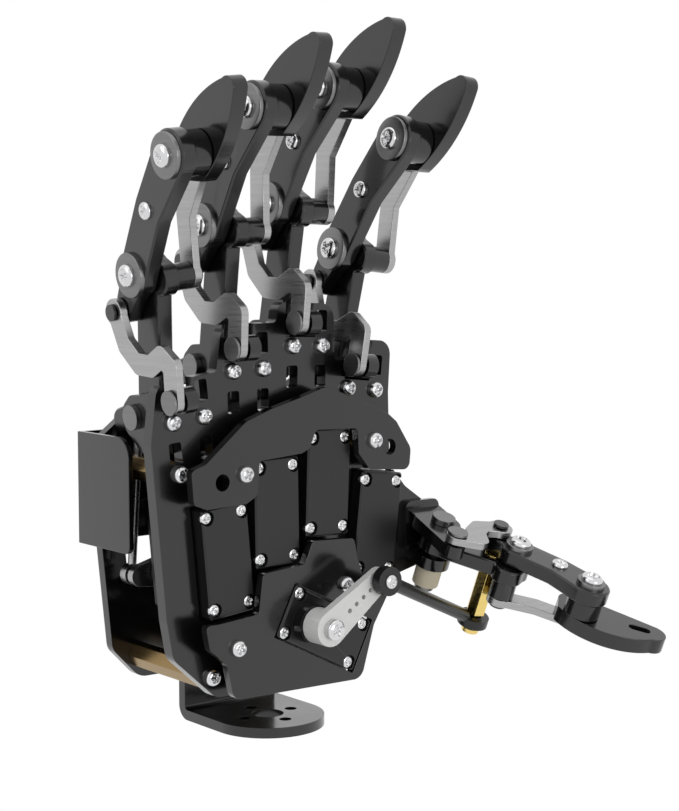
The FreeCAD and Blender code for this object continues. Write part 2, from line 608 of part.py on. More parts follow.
def digit(name, place, pts, sizes, claw_parts, s_path, bow, ear=None):
    """The six nodes of one digit from its pivots."""
    lo, hi = -PLATE_HALF, PLATE_HALF
    m0 = MIDDLE_LEFT
    m1 = -PLATE_HALF - SIDE_GAP
    # proximal: main limb, lobe for the coupler and, on a finger, the rear lever
    pieces = [limb(pts["P0"], pts["P2"], sizes["hip"], sizes["knee"], lo, hi),
              limb(pts["P2"], pts["S"], sizes["knee"] - 0.2, 3.0, lo, hi)]
    if "RL" in pts:
        pieces.append(limb(pts["P0"], pts["RL"], 3.3, 2.3, lo, hi))
    if ear:
        pieces.append(disc(ear[0], ear[1], lo, hi, 2.9))
    proximal = join(pieces)
    proximal = soften(proximal, 0.3, [lo, hi])
    cuts = [disc(pts["P0"][0], pts["P0"][1], lo - 1, hi + 1, PIVOT_R + RUNNING_FIT),
            disc(pts["P2"][0], pts["P2"][1], lo - 1, hi + 1, PIVOT_R + RUNNING_FIT)]
    if ear:
        cuts.append(disc(ear[0], ear[1], lo - 1, hi + 1, SCREW_R + FIT))
    proximal = proximal.cut(cuts[0].multiFuse(cuts[1:]))
    x, y = pts["S"]
    end = COUPLER_LEFT + LINK_THICK + SIDE_GAP
    extra = [disc(x, y, hi, COUPLER_LEFT - 0.1, EYE_R), disc(x, y, hi, end, PIN_R),
             disc(x, y, end, end + PIN_HEAD_H, 1.6)]
    if "RL" in pts:
        extra.append(disc(pts["RL"][0], pts["RL"][1], hi - 0.2, hi + 2.5, PIN_R))
    add(name + "_proximal", join([proximal] + extra))
    # middle link with its tail and the spacer before the claw
    mid = ((pts["P2"][0] + pts["P1"][0]) / 2 + 0.6, (pts["P2"][1] + pts["P1"][1]) / 2 + 1.0)
    middle = join([limb(pts["P2"], mid, sizes["m2"], sizes["m2"] - 0.1, m0, m1),
                   limb(mid, pts["P1"], sizes["m2"] - 0.1, sizes["m1"], m0, m1),
                   limb(pts["P2"], pts["P3"], sizes["m2"] - 0.6, 2.2, m0, m1)])
    middle = soften(middle, 0.3, [m0, m1])
    cuts = [disc(pts["P2"][0], pts["P2"][1], m0 - 1, m1 + 1, PIVOT_R + FIT),
            disc(pts["P1"][0], pts["P1"][1], m0 - 1, m1 + 1, PIVOT_R + FIT),
            disc(mid[0], mid[1], m0 - 1, m1 + 1, SCREW_R + FIT)]
    middle = middle.cut(cuts[0].multiFuse(cuts[1:]))
    x, y = pts["P3"]
    left = S_LINK_LEFT - SIDE_GAP
    middle = join([middle, disc(x, y, left, m0 + 0.5, PIN_R), disc(x, y, left - PIN_HEAD_H, left, 1.5)])
    spacer = disc(pts["P1"][0], pts["P1"][1], m1, CLAW_LEFT - SIDE_GAP, sizes["spacer"])
    spacer = spacer.cut(disc(pts["P1"][0], pts["P1"][1], m1 - 1, CLAW_LEFT + 1, PIVOT_R + FIT))
    add(name + "_middle", [middle, spacer])
    # claw
    claw = blade(claw_parts, CLAW_LEFT, CLAW_RIGHT)
    claw = soften(claw, 0.3, [CLAW_LEFT, CLAW_RIGHT])
    claw = claw.cut(disc(pts["P1"][0], pts["P1"][1], CLAW_LEFT - 1, CLAW_RIGHT + 1, PIVOT_R + RUNNING_FIT))
    if "slot" in sizes:
        sx, sy = sizes["slot"]
        claw = claw.cut(limb((sx, sy - 1.2), (sx, sy + 1.2), 0.9, 0.899, CLAW_LEFT - 1, CLAW_RIGHT + 1))
    x, y = pts["Q"]
    add(name + "_claw", join([claw, disc(x, y, CLAW_RIGHT - 0.2, end, PIN_R), disc(x, y, end, end + PIN_HEAD_H, 1.6)]))
    # links
    s_link = chain(s_path, LINK_R, S_LINK_LEFT, S_LINK_LEFT + LINK_THICK)
    s_link = join([s_link, disc(pts["P3"][0], pts["P3"][1], S_LINK_LEFT, S_LINK_LEFT + LINK_THICK, EYE_R)])
    s_link = s_link.cut(disc(pts["P3"][0], pts["P3"][1], S_LINK_LEFT - 1, S_LINK_LEFT + 3, PIN_R + S_LINK_PLAY))
    s_link = s_link.cut(disc(pts["P4"][0], pts["P4"][1], S_LINK_LEFT - 1, S_LINK_LEFT + 3, PIN_R + RUNNING_FIT))
    add(name + "_s_link", s_link)
    coupler = chain([pts["S"], bow, pts["Q"]], LINK_R, COUPLER_LEFT, COUPLER_LEFT + LINK_THICK)
    coupler = join([coupler, disc(pts["S"][0], pts["S"][1], COUPLER_LEFT, COUPLER_LEFT + LINK_THICK, EYE_R),
                    disc(pts["Q"][0], pts["Q"][1], COUPLER_LEFT, COUPLER_LEFT + LINK_THICK, EYE_R)])
    coupler = coupler.cut(disc(pts["S"][0], pts["S"][1], COUPLER_LEFT - 1, COUPLER_LEFT + 3, PIN_R + RUNNING_FIT))
    coupler = coupler.cut(disc(pts["Q"][0], pts["Q"][1], COUPLER_LEFT - 1, COUPLER_LEFT + 3, PIN_R + COUPLER_PLAY))
    add(name + "_coupler", coupler)
    # discs and screws on the middle link
    fasteners = []
    for key, stop in (("P2", hi), ("P1", CLAW_RIGHT)):
        x, y = pts[key]
        parts = [disc(x, y, m0 - DISC_H, m0, sizes["disc"]), disc(x, y, m0 - 0.1, stop, PIVOT_R),
                 disc(x, y, m0 - DISC_H - BUTTON_H, m0 - DISC_H, BUTTON_R)]
        fasteners.append(join(parts))
    x, y = mid
    fasteners.append(join([disc(x, y, m0 - 0.9, m0, 1.6), disc(x, y, m0 - 0.1, m1, SCREW_R)]))
    add(name + "_joint_screws", fasteners)
    for part in ("_proximal", "_middle", "_claw", "_s_link", "_coupler", "_joint_screws"):
        NODES[name + part] = [placed(s, place) for s in NODES[name + part]]


finger_sizes = {"hip": 3.6, "knee": 3.5, "m2": 3.9, "m1": 4.5, "spacer": 4.0, "disc": DISC_R}
s_path = [FINGER["P3"], (8.3, 13.8), (4.5, 10.6), (0.5, 10.4), (-3.0, 12.2), (-5.5, 10.5), FINGER["P4"]]
for key, data in FINGERS.items():
    place = finger_frame(data["base"][0], data["base"][1], data["lean"])
    digit(key, place, FINGER, finger_sizes, finger_claw_outline(), s_path, (2.6, 35.5))

thumb_sizes = {"hip": 3.3, "knee": 3.2, "m2": 3.5, "m1": 3.9, "spacer": 3.4, "disc": 2.7, "slot": (-8.4, 41.0)}
thumb_path = [THUMB["P3"], (-0.8, 7.2), (-3.6, 6.4), (-6.6, 7.2), THUMB["P4"]]
tplace = thumb_frame()
digit("thumb", tplace, THUMB, thumb_sizes, thumb_claw_outline(), thumb_path, (-3.6, 21.5), THUMB["POST"])

# Thumb bracket: two cheeks on a foot that lies on the palm plate
pieces = []
for side in (-1, 1):
    c0 = side * CHEEK_CENTRE - CHEEK_THICK / 2
    pieces.append(limb((0, 0), (6.5, -6.5), 3.6, 4.4, c0, c0 + CHEEK_THICK))
c0 = -CHEEK_CENTRE - CHEEK_THICK / 2
pieces.append(limb((0.5, -3.2), THUMB["P4"], 2.4, 2.2, c0, c0 + CHEEK_THICK))
bracket = placed(join(pieces[:1] + pieces[2:]), tplace)
lower = placed(pieces[1], tplace)
foot = placed(slab([(22.4, 33.4), (31.0, 33.4), (31.0, 43.0), (22.4, 43.0)], 0, THUMB_FOOT, 1.5), front_frame(0, 0))
behind = Part.makeBox(80, 40, 80, vec(-10, PALM_FRONT_Y, 0))
bracket = bracket.fuse(lower).fuse(foot).cut(behind).removeSplitter()
outer = CHEEK_CENTRE + CHEEK_THICK / 2
bracket = bracket.cut(placed(disc(0, 0, -outer - 1, outer + 1, PIVOT_R + FIT), tplace))
x, y = THUMB["P4"]
link_left = S_LINK_LEFT - SIDE_GAP
bracket = bracket.cut(placed(disc(x, y, c0 - 1, c0 + CHEEK_THICK + 1, PIN_R + FIT), tplace))
add("thumb_bracket", bracket)
pins.append(placed(join([disc(0, 0, -outer, outer + 4.4, PIVOT_R), disc(0, 0, -outer - 1.3, -outer, 2.3),
                         disc(0, 0, outer + 4.4, outer + 5.4, 1.9)]), tplace))
pins.append(placed(join([disc(x, y, link_left, c0 + CHEEK_THICK, PIN_R),
                         disc(x, y, link_left - PIN_HEAD_H, link_left, 2.0)]), tplace))
add("bracket_pins", pins)
spacer = disc(0, 0, outer, outer + 4.4, 2.6).cut(disc(0, 0, outer - 1, outer + 6, PIVOT_R + FIT))
add("thumb_spacer", placed(spacer, tplace))

# Post under the thumb's proximal, with its screws
x, y = THUMB["POST"]
hex_points = [(x + THUMB_POST_R * math.cos(math.radians(60 * i)), y + THUMB_POST_R * math.sin(math.radians(60 * i)))
              for i in range(6)]
post_end = PLATE_HALF + THUMB_POST_LENGTH
post = slab(hex_points, PLATE_HALF, post_end)
post = join([post, disc(x, y, -PLATE_HALF, PLATE_HALF, SCREW_R), disc(x, y, -PLATE_HALF - 0.15, -PLATE_HALF, 1.6),
             disc(x, y, post_end, post_end + 3.3, 0.9), disc(x, y, post_end + 3.3, post_end + 4.2, 1.7)])
add("thumb_post", placed(post, tplace))

# Thumb arm, ball joint and rod
arm_place = front_frame(0, 0)
sx, sz = THUMB_SHAFT
bx, bz = THUMB_BALL
arm_front = -ARM_DEPTH + ARM_THICK / 2
arm = join([limb((sx, sz), (bx, bz), 3.3, 2.2, -ARM_DEPTH - ARM_THICK / 2, arm_front),
            disc(sx, sz, -THUMB_SERVO_FRONT + THUMB_BOSS_H + SIDE_GAP, arm_front, 3.3)])
arm = arm.cut(disc(sx, sz, 0, -ARM_DEPTH + 0.1, 1.6 + RUNNING_FIT))
for k in (0.36, 0.5, 0.64, 0.78):
    arm = arm.cut(disc(sx + (bx - sx) * k, sz + (bz - sz) * k, -ARM_DEPTH - 2, arm_front + 1, 0.45))
arm = join([arm, disc(sx, sz, arm_front - 0.1, arm_front + 0.9, 1.6)])
ball_depth = -arm_front - 1.6
ball = Part.makeSphere(1.55, vec(bx, bz, -ball_depth))
arm = arm.fuse(ball).fuse(disc(bx, bz, arm_front - 0.2, -ball_depth, 0.9)).removeSplitter()
add("thumb_arm", placed(arm, arm_place))
ring = disc(bx, bz, -ball_depth - 1.1, -ball_depth + 1.1, 2.7)
ring = ring.cut(Part.makeSphere(1.55 + RUNNING_FIT, vec(bx, bz, -ball_depth)))
add("thumb_ball_joint", placed(ring, arm_place))
rod_end = tplace.multVec(vec(x, y, post_end + 1.65))
rod_start = arm_place.multVec(vec(bx, bz, -ball_depth))
direction = rod_end - rod_start
length = direction.Length
direction.normalize()
rod = Part.makeCylinder(THUMB_ROD_R, length - 2.7 - 2.3, rod_start + direction * 2.7, direction)
eye = placed(disc(x, y, post_end + 0.75, post_end + 2.55, 3.0), tplace)
rod = rod.fuse(eye)
rod = rod.cut(placed(disc(x, y, post_end - 4, post_end + 0.5, 2.9), tplace))
rod = rod.cut(placed(disc(x, y, post_end + 2.7, post_end + 6, 2.6), tplace))
rod = rod.cut(placed(disc(x, y, post_end, post_end + 4, 0.9 + 0.5), tplace))
rod = rod.cut(placed(disc(bx, bz, -ball_depth - 2, -ball_depth + 2, 2.7), arm_place))
add("thumb_rod", rod.removeSplitter())

# Horns and push rods behind the finger servos
for key, data in FINGERS.items():
    place = front_frame(data["servo"][0], data["servo"][1], data["turn"])
    fplace = finger_frame(data["base"][0], data["base"][1], data["lean"])
    side = data["side"]
    tip = (side * HORN_REACH, -SERVO_SHAFT_DROP)
    hub = (0.0, -SERVO_SHAFT_DROP)
    horn = limb(hub, tip, 3.0, 2.0, -HORN_DEPTH - HORN_THICK, -HORN_DEPTH)
    horn = horn.cut(disc(hub[0], hub[1], -30, 0, SERVO_SPLINE_R + RUNNING_FIT))
    pin_end = ROD_DEPTH + 1.3
    horn = join([horn, disc(tip[0], tip[1], -pin_end, -HORN_DEPTH - HORN_THICK + 0.2, PIN_R)])
    add(key + "_horn", placed(horn, place))
    low = place.multVec(vec(tip[0], tip[1], -ROD_DEPTH))
    rl = FINGER["RL"]
    high = fplace.multVec(vec(rl[0], rl[1], PLATE_HALF + 1.25))
    direction = high - low
    length = direction.Length
    direction.normalize()
    wire = Part.makeCylinder(ROD_R, length - 2.6, low + direction * 1.3, direction)
    eye_low = placed(disc(tip[0], tip[1], -ROD_DEPTH - 0.9, -ROD_DEPTH + 0.9, 2.0), place)
    eye_high = placed(disc(rl[0], rl[1], PLATE_HALF + 0.5, PLATE_HALF + 2.0, 2.3), fplace)
    rod = eye_low.fuse(wire).fuse(eye_high)
    rod = rod.cut(placed(disc(tip[0], tip[1], -ROD_DEPTH - 2, -ROD_DEPTH + 2, PIN_R + RUNNING_FIT), place))
    rod = rod.cut(placed(disc(rl[0], rl[1], PLATE_HALF, PLATE_HALF + 3, PIN_R + ROD_PLAY), fplace))
    add(key + "_push_rod", rod.removeSplitter())

os.makedirs("parts", exist_ok=True)
for name, solids in NODES.items():
    shape = solids[0] if len(solids) == 1 else Part.makeCompound(solids)
    shape.exportStep("parts/" + name + ".step")
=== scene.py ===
import json
import math

import bmesh
import bpy
import numpy as np
from bpy.props import FloatProperty, FloatVectorProperty, PointerProperty
from bpy.types import Operator, Panel, PropertyGroup
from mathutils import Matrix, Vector


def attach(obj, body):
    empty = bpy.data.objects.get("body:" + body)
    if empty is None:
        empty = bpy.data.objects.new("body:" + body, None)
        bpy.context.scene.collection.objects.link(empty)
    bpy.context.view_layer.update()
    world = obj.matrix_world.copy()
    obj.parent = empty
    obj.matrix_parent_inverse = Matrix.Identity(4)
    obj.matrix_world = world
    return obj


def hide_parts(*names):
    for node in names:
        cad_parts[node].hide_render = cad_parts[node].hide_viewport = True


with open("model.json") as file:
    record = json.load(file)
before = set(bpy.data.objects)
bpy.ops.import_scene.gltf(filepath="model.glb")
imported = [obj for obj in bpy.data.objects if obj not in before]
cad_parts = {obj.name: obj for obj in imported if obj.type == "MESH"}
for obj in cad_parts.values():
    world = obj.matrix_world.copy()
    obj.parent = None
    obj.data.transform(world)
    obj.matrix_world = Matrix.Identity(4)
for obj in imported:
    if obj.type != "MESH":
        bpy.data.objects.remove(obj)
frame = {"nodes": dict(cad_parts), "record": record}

bl_info = {
    "name": "Linkage hand",
    "version": (1, 0, 0),
    "blender": (4, 5, 0),
    "location": "View3D > Sidebar > Hand",
    "description": "Finishes a small servo-driven hand with black plates, steel links and bright screws",
    "category": "Object",
}

MM = 0.001
MERGE = 2e-6
FLAT_ANGLE = math.radians(0.6)
SHARP_ANGLE = math.radians(32)
BEVEL_ANGLE = math.radians(38)
FINGERS = ("little", "ring", "long", "index")
DIGITS = FINGERS + ("thumb",)
NODES = frame["nodes"]
RECORD = frame["record"]
BODY_OF = {node: body for body, nodes in RECORD["behaviour"]["bodies"].items() for node in nodes}
SLOT_OF = {part["node"]: part["material_slot"] for part in RECORD["subparts"]}
AXIS_OF = {joint["name"]: joint["axis"] for joint in RECORD["behaviour"]["joints"]}
PLACE_OF = {joint["name"]: joint["pos_m"] for joint in RECORD["behaviour"]["joints"]}


class HandFinish(PropertyGroup):
    black: FloatVectorProperty(
        name="Plate black", description="Colour of the coated plates and finger bars",
        subtype="COLOR", default=(0.006, 0.006, 0.0065), min=0.0, max=1.0)
    servo_black: FloatVectorProperty(
        name="Servo black", description="Colour of the moulded servo cases",
        subtype="COLOR", default=(0.006, 0.006, 0.0065), min=0.0, max=1.0)
    steel: FloatVectorProperty(
        name="Link steel", description="Colour of the bright cut links",
        subtype="COLOR", default=(0.46, 0.46, 0.46), min=0.0, max=1.0)
    chrome: FloatVectorProperty(
        name="Screw metal", description="Colour of the plated screws",
        subtype="COLOR", default=(0.72, 0.72, 0.73), min=0.0, max=1.0)
    washer: FloatVectorProperty(
        name="Washer metal", description="Colour of the flat pivot discs",
        subtype="COLOR", default=(0.24, 0.24, 0.24), min=0.0, max=1.0)
    brass: FloatVectorProperty(
        name="Brass", description="Colour of the posts and spacers",
        subtype="COLOR", default=(0.92, 0.70, 0.24), min=0.0, max=1.0)
    # Darker copy of the brass: painted shade on the posts that stand between the plates
    painted_shade_brass: FloatVectorProperty(
        name="Shaded brass", description="Colour of the posts between the plates",
        subtype="COLOR", default=(0.34, 0.23, 0.10), min=0.0, max=1.0)
    white: FloatVectorProperty(
        name="Horn white", description="Colour of the moulded servo arm",
        subtype="COLOR", default=(0.93, 0.93, 0.92), min=0.0, max=1.0)
    cream: FloatVectorProperty(
        name="Spacer cream", description="Colour of the nylon spacer",
        subtype="COLOR", default=(0.62, 0.58, 0.48), min=0.0, max=1.0)
    edge: FloatProperty(
        name="Edge radius", description="Rounding of the cut edges",
        default=0.14 * MM, min=0.0, max=1.0 * MM, unit="LENGTH")
    grain: FloatProperty(
        name="Grain", description="Depth of the fine grain in the coating",
        default=0.06, min=0.0, max=1.0)


class HandStudio(PropertyGroup):
    key: FloatProperty(name="Key lamp", description="Strength of the main lamp", default=1.5, min=0.0, unit="POWER")
    fill: FloatProperty(name="Fill lamp", description="Strength of the soft lamp", default=0.7, min=0.0, unit="POWER")
    sky: FloatProperty(name="Room light", description="Strength of the even light", default=0.45, min=0.0)
    distance: FloatProperty(
        name="Camera distance", description="From the camera to the palm", default=337.6 * MM, min=0.05, unit="LENGTH")


# Materials

def new_group(name, inputs, outputs):
    """Empty shader node group with named float, colour or vector sockets."""
    group = bpy.data.node_groups.new(name, "ShaderNodeTree")
    for label, kind, value in inputs:
        socket = group.interface.new_socket(label, in_out="INPUT", socket_type=kind)
        if value is not None:
            socket.default_value = value
    for label, kind in outputs:
        group.interface.new_socket(label, in_out="OUTPUT", socket_type=kind)
    return group


def grain_group():
    """Fine even speckle: height, a roughness between two limits and a faint change of tone."""
    name = "fine_grain"
    if name in bpy.data.node_groups:
        return bpy.data.node_groups[name]
    group = new_group(
        name,
        [("Colour", "NodeSocketColor", (0.5, 0.5, 0.5, 1.0)), ("Scale", "NodeSocketFloat", 900.0),
         ("Smooth", "NodeSocketFloat", 0.2), ("Rough", "NodeSocketFloat", 0.4), ("Tone", "NodeSocketFloat", 0.2)],
        [("Colour", "NodeSocketColor"), ("Roughness", "NodeSocketFloat"), ("Height", "NodeSocketFloat")])
    nodes, links = group.nodes, group.links
    src = nodes.new("NodeGroupInput")
    out = nodes.new("NodeGroupOutput")
    place = nodes.new("ShaderNodeTexCoord")
    fine = nodes.new("ShaderNodeTexNoise")
    fine.inputs["Detail"].default_value = 4.0
    broad = nodes.new("ShaderNodeTexNoise")
    broad.inputs["Scale"].default_value = 45.0
    broad.inputs["Detail"].default_value = 5.0
    spread = nodes.new("ShaderNodeMapRange")
    dim = nodes.new("ShaderNodeMixRGB")
    dim.blend_type = "MULTIPLY"
    links.new(place.outputs["Object"], fine.inputs["Vector"])
    links.new(place.outputs["Object"], broad.inputs["Vector"])
    links.new(src.outputs["Scale"], fine.inputs["Scale"])
    links.new(broad.outputs["Fac"], spread.inputs["Value"])
    spread.inputs["From Min"].default_value = 0.3
    spread.inputs["From Max"].default_value = 0.7
    links.new(src.outputs["Smooth"], spread.inputs["To Min"])
    links.new(src.outputs["Rough"], spread.inputs["To Max"])
    links.new(src.outputs["Tone"], dim.inputs["Fac"])
    links.new(src.outputs["Colour"], dim.inputs["Color1"])
    links.new(fine.outputs["Fac"], dim.inputs["Color2"])
    links.new(dim.outputs["Color"], out.inputs["Colour"])
    links.new(spread.outputs["Result"], out.inputs["Roughness"])
    links.new(fine.outputs["Fac"], out.inputs["Height"])
    return group


def brushed_group():
    """Fine parallel scratches drawn out along one direction."""
    name = "brushed"
    if name in bpy.data.node_groups:
        return bpy.data.node_groups[name]
    group = new_group(
        name,
        [("Colour", "NodeSocketColor", (0.5, 0.5, 0.5, 1.0)), ("Stretch", "NodeSocketVector", (60.0, 60.0, 2500.0)),
         ("Smooth", "NodeSocketFloat", 0.2), ("Rough", "NodeSocketFloat", 0.4), ("Tone", "NodeSocketFloat", 0.2)],
        [("Colour", "NodeSocketColor"), ("Roughness", "NodeSocketFloat"), ("Height", "NodeSocketFloat")])
    nodes, links = group.nodes, group.links
    src = nodes.new("NodeGroupInput")
    out = nodes.new("NodeGroupOutput")
    place = nodes.new("ShaderNodeTexCoord")
    pull = nodes.new("ShaderNodeVectorMath")
    pull.operation = "MULTIPLY"
    lines = nodes.new("ShaderNodeTexNoise")
    lines.inputs["Scale"].default_value = 1.0
    lines.inputs["Detail"].default_value = 3.0
    spread = nodes.new("ShaderNodeMapRange")
    dim = nodes.new("ShaderNodeMixRGB")
    dim.blend_type = "MULTIPLY"
    links.new(place.outputs["Object"], pull.inputs[0])
    links.new(src.outputs["Stretch"], pull.inputs[1])
    links.new(pull.outputs["Vector"], lines.inputs["Vector"])
    links.new(lines.outputs["Fac"], spread.inputs["Value"])
    links.new(src.outputs["Smooth"], spread.inputs["To Min"])
    links.new(src.outputs["Rough"], spread.inputs["To Max"])
    links.new(src.outputs["Tone"], dim.inputs["Fac"])
    links.new(src.outputs["Colour"], dim.inputs["Color1"])
    links.new(lines.outputs["Fac"], dim.inputs["Color2"])
    links.new(dim.outputs["Color"], out.inputs["Colour"])
    links.new(spread.outputs["Result"], out.inputs["Roughness"])
    links.new(lines.outputs["Fac"], out.inputs["Height"])
    return group


def finish_material(name, colour, metallic, smooth, rough, tone, bump, scale=900.0, brushed=False, **shader):
    """Principled material whose colour, roughness and bump come from one of the shared groups."""
    made = bpy.data.materials.get(name)
    if made:
        return made
    made = bpy.data.materials.new(name)
    made.use_nodes = True
    nodes, links = made.node_tree.nodes, made.node_tree.links
    principled = nodes["Principled BSDF"]
    effect = nodes.new("ShaderNodeGroup")
    effect.node_tree = brushed_group() if brushed else grain_group()
    effect.inputs["Colour"].default_value = (*colour, 1.0)
    effect.inputs["Smooth"].default_value = smooth
    effect.inputs["Rough"].default_value = rough
    effect.inputs["Tone"].default_value = tone
    if not brushed:
        effect.inputs["Scale"].default_value = scale
    relief = nodes.new("ShaderNodeBump")
    relief.inputs["Strength"].default_value = bump
    relief.inputs["Distance"].default_value = 0.02 * MM
    links.new(effect.outputs["Colour"], principled.inputs["Base Color"])
    links.new(effect.outputs["Roughness"], principled.inputs["Roughness"])
    links.new(effect.outputs["Height"], relief.inputs["Height"])
    links.new(relief.outputs["Normal"], principled.inputs["Normal"])
    principled.inputs["Metallic"].default_value = metallic
    for label, value in shader.items():
        principled.inputs[label.replace("_", " ")].default_value = value
    return made


def material_for(slot):
    hand = bpy.context.scene.hand_finish
    if slot == "black_plate":
        return finish_material("black_coating", hand.black, 0.0, 0.14, 0.26, 0.25, hand.grain, Coat_Weight=0.35,
                               Coat_Roughness=0.10)
    if slot == "servo_black":
        return finish_material("moulded_black", hand.servo_black, 0.0, 0.26, 0.40, 0.25, hand.grain * 2, 1500.0)
    if slot == "black_plastic":
        return finish_material("turned_black", hand.servo_black, 0.0, 0.22, 0.36, 0.25, hand.grain, 1200.0)
    if slot == "bright_steel":
        return finish_material("cut_steel", hand.steel, 1.0, 0.20, 0.38, 0.30, 0.25, brushed=True)
    if slot == "chrome_steel":
        return finish_material("plated_screw", hand.chrome, 1.0, 0.10, 0.22, 0.15, 0.05, 1200.0)
    if slot == "washer_steel":
        return finish_material("satin_washer", hand.washer, 1.0, 0.24, 0.42, 0.30, 0.20, brushed=True)
    if slot == "brass":
        return finish_material("turned_brass", hand.brass, 1.0, 0.12, 0.30, 0.20, 0.15, brushed=True)
    # The posts between the plates get the darker brass, painted shade where the plates shut out the light
    if slot == "post_brass":
        return finish_material("shaded_brass", hand.painted_shade_brass, 1.0, 0.18, 0.34, 0.25, 0.15, brushed=True)
    if slot == "white_plastic":
        return finish_material("moulded_white", hand.white, 0.0, 0.30, 0.45, 0.08, 0.10, 1500.0)
    if slot == "cream_nylon":
        return finish_material("cream_nylon", hand.cream, 0.0, 0.35, 0.55, 0.10, 0.10, 1500.0,
                               Subsurface_Weight=0.1, Subsurface_Scale=0.5 * MM)
    raise RuntimeError("no finish for " + slot)


# Meshes

def rounded_copy(node, width):
    """Merged copy of a CAD node whose sharp edges are rounded by a bevel."""
    mesh = bpy.data.meshes.new(node + "_finished")
    work = bmesh.new()
    work.from_mesh(NODES[node].data)
    bmesh.ops.remove_doubles(work, verts=work.verts, dist=MERGE)
    bmesh.ops.dissolve_limit(work, angle_limit=FLAT_ANGLE, verts=work.verts, edges=work.edges)
    work.to_mesh(mesh)
    work.free()
    mesh.shade_smooth()
    mesh.set_sharp_from_angle(angle=SHARP_ANGLE)
    piece = bpy.data.objects.new(node + "_finished", mesh)
    bpy.context.scene.collection.objects.link(piece)
    bevel = piece.modifiers.new("edge", "BEVEL")
    bevel.width = width
    bevel.segments = 2
    bevel.limit_method = "ANGLE"
    bevel.angle_limit = BEVEL_ANGLE
    bevel.use_clamp_overlap = True
    bevel.harden_normals = True
    return piece


def dress(node, width, finish=None):
    """Rounded copy in place of the node, in its own or the named finish and on its own body."""
    piece = rounded_copy(node, width)
    piece.data.materials.append(material_for(finish or SLOT_OF[node]))
    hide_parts(node)
    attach(piece, BODY_OF[node])
    return piece


def islands(node):
    """Corner points of each loose solid of a node, as arrays."""
    work = bmesh.new()
    work.from_mesh(NODES[node].data)
    bmesh.ops.remove_doubles(work, verts=work.verts, dist=MERGE)
    work.verts.ensure_lookup_table()
    seen = set()
    groups = []
    for first in work.verts:
        if first.index in seen:
            continue
        stack = [first]
        seen.add(first.index)
        points = []
        while stack:
            vert = stack.pop()
            points.append(tuple(vert.co))
            for edge in vert.link_edges:
                other = edge.other_vert(vert)
                if other.index not in seen:
                    seen.add(other.index)
                    stack.append(other)
        groups.append(np.array(points))
    work.free()
    return groups


def basis(axis):
    """Two directions square to the axis and the axis itself, as rows."""
    a = np.array(axis, float)
    a /= np.linalg.norm(a)
    helper = np.array((0.0, 0.0, 1.0)) if abs(a[2]) < 0.8 else np.array((1.0, 0.0, 0.0))
    u = np.cross(helper, a)
    u /= np.linalg.norm(u)
    return np.array((u, np.cross(a, u), a))


def head_of(points, axis):
    """Centre of the flat top of the wider end, its outward direction, radius and height."""
    rows = basis(axis)
    local = points @ rows.T
    low, high = local[:, 2].min(), local[:, 2].max()
    middle = (local[:, :2].min(axis=0) + local[:, :2].max(axis=0)) / 2
    reach = np.linalg.norm(local[:, :2] - middle, axis=1)
    span = 0.12 * (high - low)
    head_is_low = reach[local[:, 2] < low + span].max() > reach[local[:, 2] > high - span].max()
    out = -rows[2] if head_is_low else rows[2]
    level = low if head_is_low else high
    wide = reach > 0.95 * reach.max()
    depth = abs(local[wide, 2] - level).max()
    centre = np.array((middle[0], middle[1], level)) @ rows
    return centre, out, reach.max(), depth


def lathe(profile, turns=40, cross=None):
    """Surface of revolution: (r, z) turned by the angle t gives (r cos t, r sin t, z).

    cross = (half width, arm, depth) sinks two crossed slots: z falls by the depth where
    |x| < half width and |y| < arm, or the other way round, with soft walls.
    """
    r, z = np.array(profile, float).T
    t = np.linspace(0.0, 2 * math.pi, turns, endpoint=False)
    x = r[:, None] * np.cos(t)[None, :]
    y = r[:, None] * np.sin(t)[None, :]
    height = np.repeat(z[:, None], turns, axis=1)
    if cross:
        half, arm, depth = cross
        soft = 0.35 * half

        def inside(value, limit):
            return np.clip((limit + soft - np.abs(value)) / (2 * soft), 0.0, 1.0)

        slot = np.maximum(inside(x, half) * inside(y, arm), inside(y, half) * inside(x, arm))
        slot *= (np.arange(len(r)) >= cross_start(profile))[:, None]
        height = height - slot * depth
    points = np.stack((x, y, height), axis=-1).reshape(-1, 3)
    a = np.arange(len(r) - 1)[:, None] * turns + np.arange(turns)[None, :]
    b = np.arange(len(r) - 1)[:, None] * turns + (np.arange(turns)[None, :] + 1) % turns
    faces = np.stack((a, b, b + turns, a + turns), axis=-1).reshape(-1, 4)
    return points, faces


def cross_start(profile):
    """First row of the profile that lies on the top of the head."""
    zs = [p[1] for p in profile]
    return zs.index(max(zs)) if zs[-1] < max(zs) else max(1, len(profile) - 18)


def dome_profile(radius, height):
    """From the seat up a short wall and over z = height (1 - (r / radius)^4)^0.5 to the middle."""
    r = radius * np.cos(np.linspace(0.0, 0.5 * math.pi, 20)) ** 0.8
    r[-1] = radius * 0.004
    z = 0.25 * height + 0.75 * height * np.sqrt(np.clip(1 - (r / radius) ** 4, 0, 1))
    rows = [(radius * 0.98, -0.4 * MM), (radius * 0.98, 0.0), (radius, 0.05 * height)]
    return rows + list(zip(r, z))


def disc_profile(radius, height, bore):
    """Flat washer with rounded rims from its seat to its bore."""
    soft = 0.15 * MM
    a = np.linspace(0.0, 0.5 * math.pi, 5)
    rim = [(radius - soft + soft * math.cos(v), height - soft + soft * math.sin(v)) for v in a]
    inner = [(bore + soft - soft * math.sin(v), height - soft + soft * math.cos(v)) for v in a]
    return [(radius, -0.1 * MM)] + rim + inner + [(bore, -0.1 * MM)]


